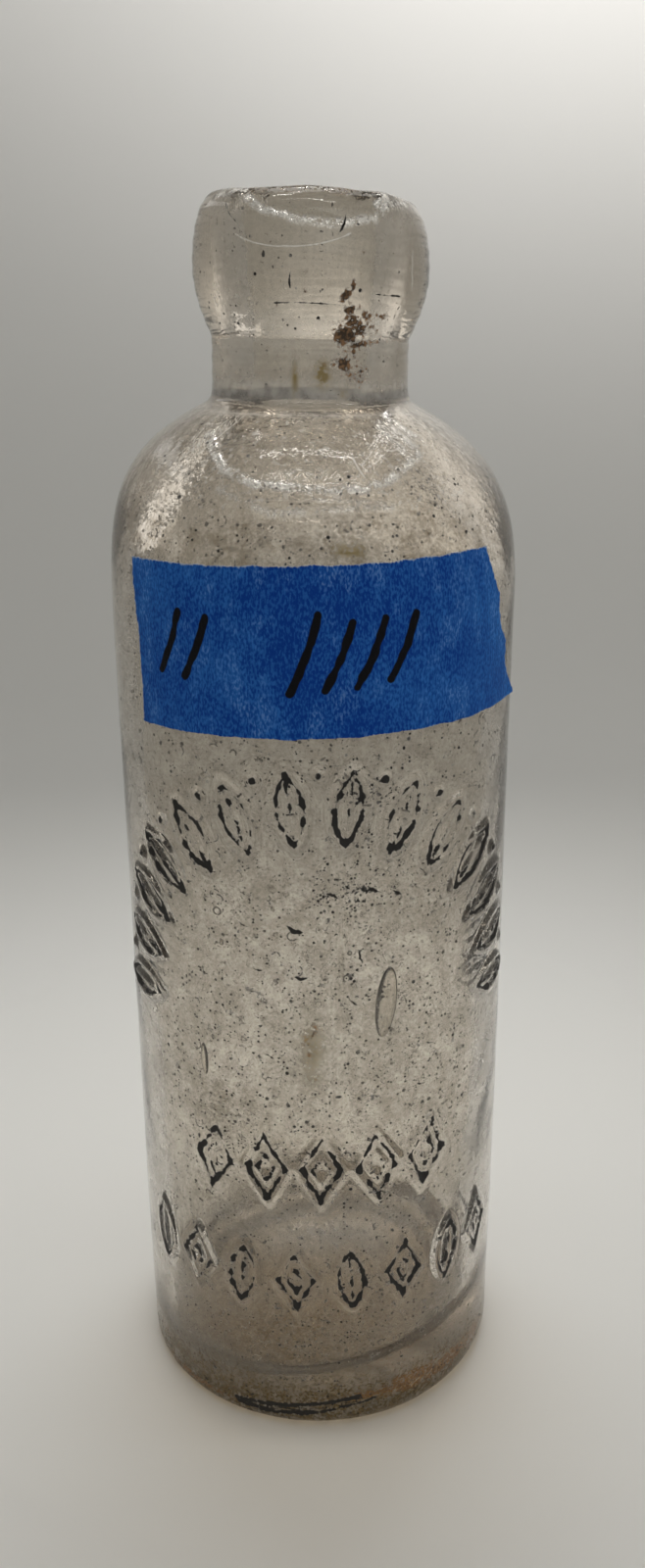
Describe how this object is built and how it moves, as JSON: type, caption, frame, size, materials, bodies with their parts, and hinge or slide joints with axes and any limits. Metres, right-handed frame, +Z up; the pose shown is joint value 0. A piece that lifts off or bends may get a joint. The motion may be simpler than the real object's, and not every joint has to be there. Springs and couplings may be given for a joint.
{
  "type": "hutch bottle",
  "caption": "Squat soda bottle of thick clear aged glass with a blob lip, short neck, round shoulder and uneven thick base, with a torn strip of blue crepe tape round its front.",
  "frame": {"origin": "on the resting plane, under the middle of the base", "axes": "+Z up along the bottle's axis; -Y is the front, where the tape is; +X is the bottle's right as seen from the front"},
  "size_m": [0.062, 0.0625, 0.192],
  "materials": {
    "aged_glass": "clear glass gone faintly grey and straw, thick, seedy, scuffed outside and hazy inside",
    "crepe_tape": "matte blue crepe paper with fine fibres and paler blotches"
  },
  "bodies": {
    "root": {"glass_bottle": "aged_glass", "masking_tape": "crepe_tape"}
  },
  "joints": []
}
